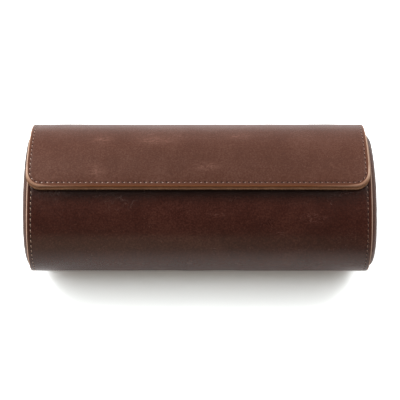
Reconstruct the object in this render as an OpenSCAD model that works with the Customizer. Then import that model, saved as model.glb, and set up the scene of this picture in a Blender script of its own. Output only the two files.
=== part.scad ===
// Rigid leather travel case for three watches.
// An oval tube of board is wrapped in thick leather and closed by two padded
// leather ends. A leather flap, sewn on low at the back, comes over the top
// and shuts on two hidden magnets. Inside, three suede cushions sit between
// two dividers, and each cushion carries one watch.
// X runs along the case, -Y is the front, +Z is up.
// The origin is the middle of the flat foot that the case rests on.

/* [Case] */
// Length of the leather wrap between its two raw edges
case_l = 219; // [190:1:260]
// Depth of the oval tube over its leather
case_w = 96.6; // [88:0.2:108]
// Height of the full oval, before its foot is flattened
case_h = 71; // [67:0.5:80]
// Radius of the tube's front and back curves
end_r = 30.5; // [28:0.5:33]
// Depth that the flat foot takes off the bottom of the oval
foot_flat = 0.9; // [0.4:0.1:2]

/* [Wall] */
// Thickness of the wrap leather
leather_t = 1.8; // [1.2:0.1:2.4]
// Thickness of the board under the leather
board_t = 1.8; // [1.2:0.1:3]
// Thickness of the suede lining
lining_t = 0.9; // [0.6:0.1:1.6]
// Glue line between two layers
glue_gap = 0.05; // [0.02:0.01:0.1]

/* [Mouth] */
// Front lip of the mouth, measured back from the tube's axis
lip_y = 8; // [4:0.5:12]
// Back edge of the mouth, where the flap hinges, measured below the axis
hinge_drop = 17; // [12:0.5:20]
// Leather rim left over each end of the mouth
rim_w = 8; // [7:0.5:14]
// Thickness of the binding that faces the mouth's edges
binding_t = 1.6; // [1:0.1:2.4]

/* [Ends] */
// Depth that each end board sits in from the wrap's raw edge
end_recess = 1.6; // [1:0.1:3]
// Thickness of each end board
end_board_t = 3; // [2:0.1:4]
// How far each padded end bulges past the wrap's raw edge
end_bulge = 4.2; // [1.5:0.1:5]
// Height of the padded end at its rim
end_rim_h = 1.9; // [1.6:0.1:2.4]
// Width of the round shoulder of the padded end
end_shoulder = 6; // [5:0.5:14]
// Thickness of the leather over each end
end_leather_t = 1.2; // [0.8:0.1:1.5]
// Open groove between the wrap and the end's rim
end_groove = 0.6; // [0.4:0.1:1.2]

/* [Flap] */
// Free edge of the flap, measured forward from the tube's axis
flap_reach = 8; // [6:0.2:14]
// Corner radius of the flap's free edge
flap_corner_r = 9.5; // [5:0.5:14]
// How much longer along the case the flap is than the tube's leather
flap_extra = 0.8; // [0:0.1:1.6]
// Hand-sewn offset of the flap along the case
flap_shift = -0.9; // [-1.5:0.1:1.5]
// Thickness of the flap's outer leather
flap_leather_t = 1.8; // [1.2:0.1:2.2]
// Thickness of the flap's backing leather
flap_backing_t = 1.9; // [1.4:0.1:2.2]
// How far the backing's edge stands out past the outer leather's free edge
backing_step = 0.4; // [0.2:0.1:2.5]
// Thickness of the suede panel inside the flap
flap_lining_t = 0.8; // [0.5:0.1:1.2]
// Stretch of the flap above the hinge that bends, so no suede covers it
bend_w = 9; // [5:0.5:14]
// Running gap between the flap and the case
flap_gap = 0.35; // [0.3:0.05:0.6]
// Width round the case of the flap's strip that is sewn on below the hinge
anchor_w = 11; // [8:0.5:14]
// Slit between the sewn strip and the flap
hinge_slit = 0.3; // [0.2:0.05:0.5]

/* [Magnets] */
// Diameter of each magnet
magnet_d = 10; // [8:0.5:12]
// Thickness of each magnet
magnet_t = 1; // [0.6:0.1:1.1]
// Distance from the middle of the case to each magnet
magnet_x = 62; // [40:1:75]
// Clearance round a magnet in its pocket
magnet_gap = 0.1; // [0.05:0.05:0.2]

/* [Dividers] */
// Thickness of a divider's board
divider_board_t = 1.6; // [1.2:0.1:2.4]
// Thickness of the suede on each side of a divider
divider_suede_t = 0.7; // [0.5:0.1:1.2]
// How far a divider's top edge lies below the line across the mouth
divider_drop = 5; // [3:0.5:10]
// Fit of a divider in the lined tube
divider_fit = 0.1; // [0.05:0.05:0.3]

/* [Cushions] */
// Thickness of a cushion across the way it lifts out
cushion_t = 46; // [40:0.5:47]
// How far a cushion's crown lies below the line across the mouth
cushion_drop = 3; // [1:0.5:8]
// Corner radius of a cushion's crown
cushion_r = 16; // [10:0.5:20]
// Play between a cushion and its compartment at each side
cushion_play = 2.6; // [1.5:0.1:5]
// Gap between a cushion and the lining it rests on
cushion_seat = 0.35; // [0.3:0.05:0.6]
// Gap between a cushion and the mouth's lip
cushion_lip_gap = 1.2; // [0.6:0.1:1.4]
// Thickness of a cushion's suede cover
cover_t = 1; // [0.6:0.1:1.6]

/* [Hidden] */
$fn = 96;

LEFT = -1;
MIDDLE = 0;
RIGHT = 1;
far = 300;              // reach of a cutting shape, past every size
cut = 1;                // overshoot of a cut past the face it opens

// Four-centre oval: two end arcs of end_r and two flatter arcs of side_r.
end_c = case_w / 2 - end_r;
rise = case_h / 2 - end_r;
side_k = (end_c * end_c - rise * rise) / (2 * rise);
side_r = case_h / 2 + side_k;
joint_y = end_c * (1 + far / side_k);   // where the line through two arcs' joint reaches far
axis_z = case_h / 2 - foot_flat;

// Wall layers, as offsets from the outer face of the leather.
board_out = -leather_t - glue_gap;
board_in = board_out - board_t;
lining_out = board_in - glue_gap;
lining_in = lining_out - lining_t;

// Stations along X, measured from the middle of the case.
wrap_x = case_l / 2;
flap_x = (case_l + flap_extra) / 2;
end_board_out_x = wrap_x - end_recess;
end_board_in_x = end_board_out_x - end_board_t;
end_lining_out_x = end_board_in_x - glue_gap;
end_lining_in_x = end_lining_out_x - lining_t;
tube_board_x = end_board_in_x - glue_gap;
tube_lining_x = end_lining_in_x - glue_gap;
mouth_x = wrap_x - rim_w;

// The line across the mouth, from the lip to the hinge edge, and the way out.
inner_top_z = sqrt(pow(side_r + lining_in, 2) - pow(lip_y, 2)) - side_k;
inner_back_y = end_c + sqrt(pow(end_r + lining_in, 2) - pow(hinge_drop, 2));
exit_angle = 90 - atan2(inner_top_z + hinge_drop, inner_back_y - lip_y);
chord_s = lip_y * cos(exit_angle) + inner_top_z * sin(exit_angle);
lip_p = inner_top_z * cos(exit_angle) - lip_y * sin(exit_angle);

// The hinge line, at the height of the mouth's back edge, and the sewn strip's sweep.
hinge_angle = asin(hinge_drop / end_r);
anchor_angle = anchor_w / end_r * 180 / PI;

// Flap layers, as offsets from the outer face of the case's leather.
flap_lining_out = flap_gap - glue_gap;
backing_out = flap_gap + flap_backing_t;
flap_leather_in = backing_out + glue_gap;
flap_out = flap_leather_in + flap_leather_t;
flap_lining_edge = 3;   // margin between the suede panel and the mouth's edges
magnet_y = (lip_y - flap_reach) / 2;
magnet_cover = 0.25;    // leather left over the magnet's flat face

// Compartments.
divider_t = divider_board_t + 2 * divider_suede_t + 2 * glue_gap;
compartment_l = (2 * end_lining_in_x - 2 * divider_t) / 3;
divider_x = compartment_l / 2 + divider_t / 2;
compartment_pitch = compartment_l + divider_t;
cushion_l = compartment_l - 2 * cushion_play;
cushion_fit = 0.1;      // fit of the foam core in its cover

// ---- Section shapes, in the plane across the case, about the tube's axis ----

// Oval of the case's section, grown outward by off.
module oval(off) {
    intersection() {
        union() {
            for (side = [-1, 1])
                translate([side * end_c, 0]) circle(end_r + off);
            intersection() {
                translate([0, -side_k]) circle(side_r + off);
                translate([0, side_k]) circle(side_r + off);
                polygon([
                    [end_c, 0], [joint_y, far], [-joint_y, far],
                    [-end_c, 0], [-joint_y, -far], [joint_y, -far]
                ]);
            }
        }
        translate([-far, -axis_z - off]) square([2 * far, 2 * far]);
    }
}

// One layer of the wall between two offsets.
module wall(inner, outer) {
    difference() {
        oval(outer);
        oval(inner);
    }
}

// Everything below the line that lies "below" under the mouth's own line.
module under_mouth(below) {
    rotate(exit_angle) translate([chord_s - below - 2 * far, -far]) square(2 * far);
}

// Everything above the line through the hinge, square to the case's surface.
module above_hinge(gap) {
    translate([end_c, 0]) rotate(-hinge_angle) translate([-far, gap]) square(2 * far);
}

// The stretch of the back, below the hinge, that the flap's strip is sewn to.
module anchor_sector() {
    intersection() {
        translate([end_c, 0]) rotate(-hinge_angle) translate([0, -far]) square(far);
        translate([end_c, 0]) rotate(-hinge_angle - anchor_angle) square(far);
    }
}

// Section of a cushion, shrunk by inset.
module cushion_section(inset) {
    top_s = chord_s - cushion_drop - inset;
    high_p = lip_p - cushion_lip_gap - inset;
    low_p = lip_p - cushion_lip_gap - cushion_t + inset;
    r = cushion_r - inset;
    intersection() {
        oval(lining_in - cushion_seat - inset);
        rotate(exit_angle) union() {
            for (p = [low_p + r, high_p - r])
                translate([top_s - r, p]) circle(r);
            translate([-far, low_p + r]) square([top_s + far, high_p - low_p - 2 * r]);
            translate([-far, low_p]) square([top_s - r + far, high_p - low_p]);
        }
    }
}

// ---- Placing shapes ----

// Sweeps a section shape along the case, from x0 to x1.
module along_case(x0, x1) {
    translate([x0, 0, axis_z]) rotate([90, 0, 90]) linear_extrude(x1 - x0) children();
}

// Puts a shape modelled for the right end on either end.
module at_end(side) {
    if (side == RIGHT) children();
    else mirror([1, 0, 0]) children();
}

// Stands on the top of the case at x and y, at an offset from its leather.
module on_top(x, y, off) {
    translate([x, 0, axis_z - side_k]) rotate([-asin(y / side_r), 0, 0])
        translate([0, 0, side_r + off]) children();
}

// The mouth: all that lies behind the lip and above the hinge edge.
module mouth(grow) {
    translate([-mouth_x - grow, lip_y - grow, axis_z - hinge_drop - grow])
        cube([2 * (mouth_x + grow), far, far]);
}

// ---- Case ----

module body_leather() {
    color("#4a2a20") difference() {
        along_case(-wrap_x, wrap_x) wall(-leather_t, 0);
        mouth(binding_t);
    }
}

module body_board() {
    color("#9a8a70") difference() {
        along_case(-tube_board_x, tube_board_x) wall(board_in, board_out);
        mouth(binding_t);
        for (side = [LEFT, RIGHT]) lip_pocket(side);
    }
}

module body_lining() {
    color("#b99d7a") difference() {
        along_case(-tube_lining_x, tube_lining_x) wall(lining_in, lining_out);
        mouth(binding_t);
    }
}

// Leather facing round the cut edges of all three layers.
module mouth_binding() {
    color("#3c221a") difference() {
        intersection() {
            along_case(-wrap_x, wrap_x) wall(lining_in, 0);
            mouth(binding_t - glue_gap);
        }
        mouth(0);
    }
}

// The flap's lower edge, sewn to the back of the case under the hinge.
module hinge_strip() {
    color("#43261d") intersection() {
        along_case(flap_shift - flap_x, flap_shift + flap_x) wall(glue_gap, flap_out);
        along_case(-far, far) anchor_sector();
    }
}

// Outer form of a padded end, shrunk by inset on its face and at its rim.
module end_dome(inset) {
    steps = 5;
    base_x = end_board_out_x + glue_gap;
    rim_off = -leather_t - end_groove - inset;
    crown_h = end_recess + end_bulge - glue_gap - inset;
    rim_h = end_rim_h - inset;
    hull() {
        along_case(base_x, base_x + rim_h / 2) oval(rim_off, $fn = 48);
        for (i = [1:steps]) {
            turn = 90 * i / steps;
            top_x = base_x + rim_h / 2 + (crown_h - rim_h / 2) * sin(turn);
            along_case(top_x - 0.1, top_x) oval(rim_off - end_shoulder * (1 - cos(turn)), $fn = 48);
        }
    }
}

module end_leather(side) {
    color("#4a2a20") at_end(side) difference() {
        end_dome(0);
        end_dome(end_leather_t);
    }
}

module end_pad(side) {
    color("#d8cfa8") at_end(side) end_dome(end_leather_t + glue_gap);
}

module end_board(side) {
    color("#9a8a70") at_end(side) along_case(end_board_in_x, end_board_out_x) oval(board_out);
}

module end_lining(side) {
    color("#b99d7a") at_end(side) along_case(end_lining_in_x, end_lining_out_x) oval(lining_out);
}

// ---- Dividers ----

module divider_board(side) {
    color("#9a8a70") translate([side * divider_x, 0, 0])
        along_case(-divider_board_t / 2, divider_board_t / 2) intersection() {
            oval(lining_in - divider_fit);
            under_mouth(divider_drop + divider_suede_t + glue_gap);
        }
}

// Suede folded over a divider's top edge and down both of its faces.
module divider_suede(side) {
    slot_t = divider_board_t + 2 * glue_gap;
    color("#b99d7a") translate([side * divider_x, 0, 0]) difference() {
        along_case(-divider_t / 2, divider_t / 2) intersection() {
            oval(lining_in - divider_fit);
            under_mouth(divider_drop);
        }
        along_case(-slot_t / 2, slot_t / 2) intersection() {
            oval(lining_in + cut);
            under_mouth(divider_drop + divider_suede_t);
        }
    }
}

// ---- Flap ----

// Outline of a flap layer seen from above, with its two front corners rounded.
// The layer's free edge stands out past the outer leather's by step.
module flap_plan(step) {
    r = flap_corner_r;
    translate([flap_shift, -flap_reach - step]) {
        for (side = [-1, 1])
            translate([side * (flap_x - r), r]) circle(r);
        translate([r - flap_x, 0]) square([2 * (flap_x - r), far]);
        translate([-flap_x, r]) square([2 * flap_x, far]);
    }
}

// One curved layer of the flap between two offsets.
module flap_layer(inner, outer, step) {
    intersection() {
        along_case(-far, far) intersection() {
            wall(inner, outer);
            above_hinge(hinge_slit);
        }
        linear_extrude(far) flap_plan(step);
    }
}

module flap_leather() {
    color("#5f3f34") flap_layer(flap_leather_in, flap_out, 0);
}

module flap_backing() {
    color("#a5714a") difference() {
        flap_layer(flap_gap, backing_out, backing_step);
        for (side = [LEFT, RIGHT]) flap_pocket(side);
    }
}

// Suede panel that fills the mouth behind the flap.
module flap_lining() {
    edge = flap_lining_edge;
    color("#b99d7a") intersection() {
        along_case(edge - mouth_x, mouth_x - edge) wall(flap_lining_out - flap_lining_t, flap_lining_out);
        translate([-far, lip_y + edge, axis_z - hinge_drop + bend_w]) cube([2 * far, far, far]);
    }
}

// ---- Magnets ----

// Height of a lip magnet's upper face and of a flap magnet's lower face.
lip_magnet_off = board_out - magnet_cover;
flap_magnet_off = flap_gap + magnet_cover;

module magnet_disc(x, base_off) {
    on_top(x, magnet_y, base_off) cylinder(h = magnet_t, d = magnet_d);
}

module magnet_pocket(x, low_off, high_off) {
    on_top(x, magnet_y, low_off) cylinder(h = high_off - low_off, d = magnet_d + 2 * magnet_gap);
}

module lip_pocket(side) {
    magnet_pocket(side * magnet_x, lip_magnet_off - magnet_t - glue_gap, board_out + cut);
}

module flap_pocket(side) {
    magnet_pocket(side * magnet_x, flap_magnet_off - glue_gap, backing_out + cut);
}

module lip_magnet(side) {
    color("#b8bcc0") magnet_disc(side * magnet_x, lip_magnet_off - magnet_t);
}

module flap_magnet(side) {
    color("#b8bcc0") magnet_disc(side * magnet_x, flap_magnet_off);
}

// ---- Cushions ----

module cushion_cover(place) {
    half = cushion_l / 2;
    color("#c7ab86") translate([place * compartment_pitch, 0, 0]) difference() {
        along_case(-half, half) cushion_section(0);
        along_case(cover_t - half, half + cut) cushion_section(cover_t);
    }
}

// Foam core, with its own suede end that closes the open side of the cover.
module cushion_core(place) {
    half = cushion_l / 2;
    color("#d8cfa8") translate([place * compartment_pitch, 0, 0])
        along_case(cover_t + cushion_fit - half, half) cushion_section(cover_t + cushion_fit);
}

body_leather();
body_board();
body_lining();
mouth_binding();
hinge_strip();
end_leather(LEFT);  // end_leather_left
end_leather(RIGHT);  // end_leather_right
end_pad(LEFT);  // end_pad_left
end_pad(RIGHT);  // end_pad_right
end_board(LEFT);  // end_board_left
end_board(RIGHT);  // end_board_right
end_lining(LEFT);  // end_lining_left
end_lining(RIGHT);  // end_lining_right
divider_board(LEFT);  // divider_board_left
divider_board(RIGHT);  // divider_board_right
divider_suede(LEFT);  // divider_suede_left
divider_suede(RIGHT);  // divider_suede_right
lip_magnet(LEFT);  // lip_magnet_left
lip_magnet(RIGHT);  // lip_magnet_right
flap_leather();
flap_backing();
flap_lining();
flap_magnet(LEFT);  // flap_magnet_left
flap_magnet(RIGHT);  // flap_magnet_right
cushion_cover(LEFT);  // cushion_cover_left
cushion_cover(MIDDLE);  // cushion_cover_middle
cushion_cover(RIGHT);  // cushion_cover_right
cushion_core(LEFT);  // cushion_core_left
cushion_core(MIDDLE);  // cushion_core_middle
cushion_core(RIGHT);  // cushion_core_right
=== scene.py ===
"""A rigid leather travel case for three watches, put together piece by piece.

Lengths are in metres. X runs along the case, -Y is its front, +Z is up.
"""
import math

import bpy
import numpy as np
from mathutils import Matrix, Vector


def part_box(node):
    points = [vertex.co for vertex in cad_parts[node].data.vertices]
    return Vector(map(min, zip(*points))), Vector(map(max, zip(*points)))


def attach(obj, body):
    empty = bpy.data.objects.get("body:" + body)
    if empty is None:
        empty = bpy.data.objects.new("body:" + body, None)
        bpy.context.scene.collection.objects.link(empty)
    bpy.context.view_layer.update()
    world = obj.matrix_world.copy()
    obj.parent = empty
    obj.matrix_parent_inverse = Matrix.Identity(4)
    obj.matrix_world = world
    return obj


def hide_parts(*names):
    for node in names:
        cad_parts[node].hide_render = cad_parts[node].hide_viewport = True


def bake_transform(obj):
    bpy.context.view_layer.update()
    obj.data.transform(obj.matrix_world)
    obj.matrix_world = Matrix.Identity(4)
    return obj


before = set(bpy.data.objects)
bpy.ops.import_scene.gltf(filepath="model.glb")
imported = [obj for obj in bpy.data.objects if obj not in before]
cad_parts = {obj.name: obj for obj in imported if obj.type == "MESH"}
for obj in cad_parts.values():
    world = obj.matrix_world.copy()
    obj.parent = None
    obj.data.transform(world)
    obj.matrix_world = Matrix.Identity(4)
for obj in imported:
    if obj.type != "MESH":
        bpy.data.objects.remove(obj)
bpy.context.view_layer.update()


# ---- The boards ------------------------------------------
# Grey board stiffens the case: one sheet bent and glued into the oval tube, a
# plate for each end, and a plate inside each of the two dividers.


class Number:
    """A socket that takes part in sums: each operator on it adds one Math node."""

    def __init__(self, finish, socket):
        self.finish = finish
        self.socket = socket

    def __add__(self, other):
        return self.finish.math("ADD", self, other)

    def __sub__(self, other):
        return self.finish.math("SUBTRACT", self, other)

    def __rsub__(self, other):
        return self.finish.math("SUBTRACT", other, self)

    def __mul__(self, other):
        return self.finish.math("MULTIPLY", self, other)

    def __abs__(self):
        return self.finish.math("ABSOLUTE", self)

    __radd__ = __add__
    __rmul__ = __mul__


class Finish:
    """A material, or the light of a world, built from nodes whose numbers can be used in Python sums."""

    def __init__(self, name, kind=bpy.data.materials):
        self.material = kind.new(name)
        self.material.use_nodes = True
        self.tree = self.material.node_tree
        self.tree.nodes.clear()

    def node(self, kind, settings=None, sockets=None):
        """Adds a node, sets its settings first, then fills its sockets with values or links."""
        made = self.tree.nodes.new(kind)
        for key, value in (settings or {}).items():
            if key == "stops":
                while len(made.color_ramp.elements) < len(value):
                    made.color_ramp.elements.new(0.5)
                for element, (place, colour) in zip(made.color_ramp.elements, value):
                    element.position = place
                    element.color = (*colour, 1)
            else:
                setattr(made, key, value)
        for key, value in (sockets or {}).items():
            if isinstance(value, Number):
                value = value.socket
            if isinstance(value, bpy.types.NodeSocket):
                self.tree.links.new(value, made.inputs[key])
            elif isinstance(value, tuple) and len(made.inputs[key].default_value) == 4:
                made.inputs[key].default_value = (*value, 1)
            else:
                made.inputs[key].default_value = value
        return made

    def math(self, operation, *values):
        made = self.node("ShaderNodeMath", {"operation": operation}, dict(enumerate(values)))
        return Number(self, made.outputs[0])

    def fade(self, value, start, end):
        """0 where value is at start, 1 where it is at end, with a soft step between."""
        made = self.node(
            "ShaderNodeMapRange",
            {"interpolation_type": "SMOOTHSTEP"},
            {"Value": value, "From Min": start, "From Max": end},
        )
        return Number(self, made.outputs["Result"])

    def mix(self, share, first, second):
        """The colour that lies share of the way from first to second."""
        return self.node("ShaderNodeMix", {"data_type": "RGBA"}, {0: share, 6: first, 7: second}).outputs[2]

    def place(self, scale=(1000, 1000, 1000)):
        """The place on the object times scale for each axis: millimetres, unless another scale is given."""
        spot = self.node("ShaderNodeTexCoord").outputs["Object"]
        return self.node("ShaderNodeMapping", {}, {"Vector": spot, "Scale": scale}).outputs[0]

    def noise(self, vector, scale=1.0, detail=2.0, rough=0.5, warp=0.0):
        """Soft noise from 0 to 1, with about one cloud in each 1 / scale of the vector."""
        sockets = {"Vector": vector, "Scale": scale, "Detail": detail, "Roughness": rough, "Distortion": warp}
        return Number(self, self.node("ShaderNodeTexNoise", {}, sockets).outputs["Fac"])

    def cells(self, vector, scale, feature="F1"):
        """Distance to the nearest of scattered points, or to the nearest border between their cells."""
        made = self.node("ShaderNodeTexVoronoi", {"feature": feature}, {"Vector": vector, "Scale": scale})
        return Number(self, made.outputs["Distance"])

    def ramp(self, value, *stops):
        return self.node("ShaderNodeValToRGB", {"stops": stops}, {"Fac": value}).outputs["Color"]

    def attribute(self, name):
        return Number(self, self.node("ShaderNodeAttribute", {"attribute_name": name}).outputs["Fac"])

    def bump(self, height, strength):
        """A relief of that height in metres."""
        sockets = {"Height": height, "Distance": 1.0, "Strength": strength}
        return self.node("ShaderNodeBump", {}, sockets).outputs["Normal"]

    def surface(self, sockets):
        shader = self.node("ShaderNodeBsdfPrincipled", {}, sockets)
        self.node("ShaderNodeOutputMaterial", {}, {"Surface": shader.outputs[0]})
        return self.material


def dress(finish, *nodes):
    """Gives nodes of the frame their finish."""
    for node in nodes:
        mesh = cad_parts[node].data
        mesh.materials.clear()
        mesh.materials.append(finish)


card = Finish("grey_board")
card_fibre = card.noise(card.place((700, 900, 900)), 1, 4, 0.7)
card_colour = card.ramp(card_fibre, (0.3, (0.22, 0.18, 0.13)), (0.7, (0.34, 0.29, 0.22)))
board_finish = card.surface(
    {"Base Color": card_colour, "Roughness": 0.9, "Normal": card.bump(card_fibre * 0.0002, 0.6)}
)
dress(
    board_finish,
    "body_board", "end_board_left", "end_board_right", "divider_board_left", "divider_board_right",
)


# ---- The magnets -----------------------------------------
# Four thin magnets with brushed steel faces hold the flap shut. Two are let in
# under the front lip, and two lie between the layers of the flap.
plate = Finish("magnet_steel")
plate_brush = plate.noise(plate.place((400, 4000, 4000)), 1, 3, 0.6)
plate_colour = plate.ramp(plate_brush, (0.3, (0.42, 0.43, 0.44)), (0.7, (0.56, 0.57, 0.58)))
steel_finish = plate.surface(
    {"Base Color": plate_colour, "Metallic": 1.0, "Roughness": plate_brush * 0.2 + 0.25}
)
dress(steel_finish, "lip_magnet_left", "lip_magnet_right", "flap_magnet_left", "flap_magnet_right")


# ---- The suede linings -----------------------------------
# Sand-coloured suede is glued into the tube, over both end plates and under
# the flap, and is folded over the top of each divider.


def suede(name, colour):
    """Suede: soft cloudy colour where the nap has been stroked, a fine fibrous surface and a little sheen."""
    look = Finish(name)
    place = look.place()
    stroke = look.noise(look.place((70, 95, 95)), 1, 3, 0.5, 0.6)
    nap = look.noise(place, 1.4, 4, 0.75)
    stroked = tuple(c * 0.74 for c in colour)
    raised = tuple(c * 1.10 for c in colour)
    shade = look.ramp(stroke * 0.4 + nap * 0.6, (0.32, stroked), (0.68, raised))
    # Painted shade: the suede darkens along the cushions' seams, where the cover is pulled in.
    shade = look.mix(look.attribute("seam") * 0.55, shade, tuple(c * 0.35 for c in colour))
    return look.surface(
        {
            "Base Color": shade,
            "Roughness": 0.93,
            "Sheen Weight": 0.35,
            "Sheen Roughness": 0.45,
            "Specular IOR Level": 0.2,
            "Normal": look.bump(nap * 0.00022 + stroke * 0.0002, 0.9),
        }
    )


sand_suede = suede("sand_suede", (0.40, 0.27, 0.165))
dress(
    sand_suede,
    "body_lining", "end_lining_left", "end_lining_right", "flap_lining",
    "divider_suede_left", "divider_suede_right",
)


# ---- The wrap --------------------------------------------
# One hide of brown waxed leather is glued round the board tube. Its two raw
# edges are left proud at the ends, sewn through and burnished. The window of
# the mouth is cut out of it at the upper back.
wrap_thick = 0.0018
wrap_edge_round = 0.0007
raw_swell = 0.0008
seam_inset = 0.0029
groove_depth = 0.00016
groove_width = 0.0005
mouth_rim = 0.0080
mouth_facing = 0.0016
lip_back = 0.0080
swell_size = 0.034
swell_margin = 0.006
hinge_drop = 0.0170

# The tube is a four-centre oval: two tight arcs at front and back, two flat
# arcs above and below, and a foot pressed flat. All the leather follows it.
wrap_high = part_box("body_leather")[1]
foot_flat = 0.0009
foot_softness = 0.0003
tight_radius = 0.0305
half_length = wrap_high.x
half_depth = wrap_high.y
half_height = (wrap_high.z + foot_flat) / 2
axis_z = wrap_high.z - half_height
tight_y = half_depth - tight_radius
rise = half_height - tight_radius
flat_z = (tight_y**2 - rise**2) / (2 * rise)
flat_radius = half_height + flat_z
flat_turn = math.atan2(tight_y, flat_z)

turn_stops = np.array(
    [0, flat_turn, math.pi - flat_turn, math.pi + flat_turn, 2 * math.pi - flat_turn, 2 * math.pi]
)
arc_radii = np.array([flat_radius, tight_radius, flat_radius, tight_radius, flat_radius])
arc_y = np.array([0, -tight_y, 0, tight_y, 0])
arc_z = np.array([flat_z, 0, -flat_z, 0, flat_z])
way_stops = np.concatenate([[0], np.cumsum(np.diff(turn_stops) * arc_radii)])
girth = way_stops[-1]


def way_of(turn):
    """Distance round the leather's face, from the middle of the foot, where its normal has turned by turn."""
    return np.interp(turn, turn_stops, way_stops)


def around(x, way, lift):
    """Point on the tube: x along it, way round its face (foot, front, top, back), lift out of the face.

    Each arc is its centre plus (radius + lift) times the outward normal. The
    foot is a soft maximum of the oval and the flat under it.
    """
    x, way, lift = np.broadcast_arrays(x, way, lift)
    turn = np.interp(np.mod(way, girth), way_stops, turn_stops)
    arc = np.clip(np.searchsorted(turn_stops, turn, side="right") - 1, 0, 4)
    reach = arc_radii[arc] + lift
    y = arc_y[arc] - reach * np.sin(turn)
    z = arc_z[arc] - reach * np.cos(turn) + axis_z
    z = (z - lift + np.sqrt((z + lift) ** 2 + foot_softness**2)) / 2
    return np.stack([x, y, z], axis=-1)


lip_way = way_of(math.pi + math.asin(lip_back / flat_radius))
hinge_turn = 1.5 * math.pi + math.asin(hinge_drop / tight_radius)
hinge_way = way_of(hinge_turn)


def waves(x, way, size, seed):
    """Smooth unevenness between about -1 and 1: eight sines in seeded directions, with lengths near size."""
    rng = np.random.default_rng(seed)
    total = 0
    for _ in range(8):
        heading = rng.uniform(0, math.pi)
        length = size * rng.uniform(0.6, 1.8)
        phase = rng.uniform(0, 2 * math.pi)
        across = x * math.cos(heading)
        round_count = max(1, round(girth * math.sin(heading) / length))
        total = total + np.sin(2 * math.pi * (across / length + round_count * way / girth) + phase)
    return total / 4


def put_mesh(name, points, faces, finish, attributes=None, flat_spread=None):
    """Makes one mesh piece from an array of points and an array, or list of arrays, of faces.

    attributes gives each point's numbers by name, and flat_spread its place on
    the flat hide in metres, which becomes the piece's UV map.
    """
    groups = faces if isinstance(faces, list) else [faces]
    mesh = bpy.data.meshes.new(name)
    corners = np.concatenate([g.ravel() for g in groups]).astype(np.int32)
    sizes = np.concatenate([np.full(len(g), g.shape[1]) for g in groups])
    starts = np.concatenate([[0], np.cumsum(sizes)[:-1]]).astype(np.int32)
    mesh.vertices.add(len(points))
    mesh.vertices.foreach_set("co", np.asarray(points, np.float32).ravel())
    mesh.loops.add(len(corners))
    mesh.loops.foreach_set("vertex_index", corners)
    mesh.polygons.add(len(sizes))
    mesh.polygons.foreach_set("loop_start", starts)
    mesh.polygons.foreach_set("use_smooth", np.ones(len(sizes), bool))
    mesh.update(calc_edges=True)
    for key, values in (attributes or {}).items():
        made = mesh.attributes.new(key, "FLOAT", "POINT")
        made.data.foreach_set("value", np.asarray(values, np.float32).ravel())
    if flat_spread is not None:
        spread = np.asarray(flat_spread, np.float32).reshape(-1, 2)[corners]
        mesh.uv_layers.new(name="flat").data.foreach_set("uv", spread.ravel())
    mesh.materials.append(finish)
    piece = bpy.data.objects.new(name, mesh)
    bpy.context.scene.collection.objects.link(piece)
    return piece


def grid_faces(rows, columns, closed_rows=False):
    """Quads of a grid of points, numbered row by row, joined from the last row to the first if closed."""
    row = np.arange(rows if closed_rows else rows - 1)[:, None]
    column = np.arange(columns - 1)[None, :]
    near = row * columns + column
    far = (row + 1) % rows * columns + column
    return np.stack([near, near + 1, far + 1, far], axis=-1).reshape(-1, 4)


def ring_faces(count, places):
    """Quads between rings of points that follow each other, each ring closed on itself."""
    row = np.arange(count - 1)[:, None] * places
    near = np.arange(places)
    after = (near + 1) % places
    return np.stack([row + near, row + near + places, row + after + places, row + after], -1).reshape(-1, 4)


def leather_sheet(
    name, x, way, rim, outer, inner, finish, edge_round,
    closed=False, keep=None, uneven=0.0, seed=1, press=0.0, marks=None,
):
    """A sheet of leather laid on the tube, with rounded raw edges.

    x and way are grids of flat places on the tube's face, and rim is each
    place's distance from the sheet's nearest edge. The two faces lie at outer
    and inner and fall away by a quarter circle of edge_round at the edge:
    drop = r - sqrt(r^2 - (r - rim)^2). The outer face swells by uneven and is
    pressed in by press. Quads left out by keep make a window, and every open
    edge gets a wall. Nothing goes below the table.
    """
    rows, columns = x.shape
    short = np.clip(edge_round - rim, 0, edge_round)
    drop = edge_round - np.sqrt(edge_round**2 - short**2)
    swell = uneven * waves(x, way, swell_size, seed) * np.clip(rim / swell_margin, 0, 1)
    top = around(x, way, outer - drop + swell - press).reshape(-1, 3)
    under = around(x, way, inner + drop * 0.6).reshape(-1, 3)
    count = rows * columns
    faces = grid_faces(rows, columns, closed)
    if keep is not None:
        faces = faces[keep.ravel()]
    edges = np.concatenate([faces[:, [0, 1]], faces[:, [1, 2]], faces[:, [2, 3]], faces[:, [3, 0]]])
    forward = edges[:, 0].astype(np.int64) * count + edges[:, 1]
    backward = edges[:, 1].astype(np.int64) * count + edges[:, 0]
    border = edges[~np.isin(forward, backward)]
    walls = np.stack([border[:, 1], border[:, 0], border[:, 0] + count, border[:, 1] + count], axis=-1)
    faces = np.concatenate([faces, faces[:, ::-1] + count, walls])
    points = np.concatenate([top, under])
    points[:, 2] = np.maximum(points[:, 2], 0)
    used = np.zeros(len(points), bool)
    used[faces.ravel()] = True
    renumber = np.cumsum(used) - 1
    flat = np.stack([x, way], axis=-1).reshape(-1, 2)
    marks = {"rim": rim, **(marks or {})}
    marks = {key: np.concatenate([values.ravel()] * 2)[used] for key, values in marks.items()}
    marks["outside"] = np.concatenate([np.ones(count), np.zeros(count)])[used]
    spread = np.concatenate([flat, flat])[used]
    return put_mesh(name, points[used], renumber[faces], finish, attributes=marks, flat_spread=spread)


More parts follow.
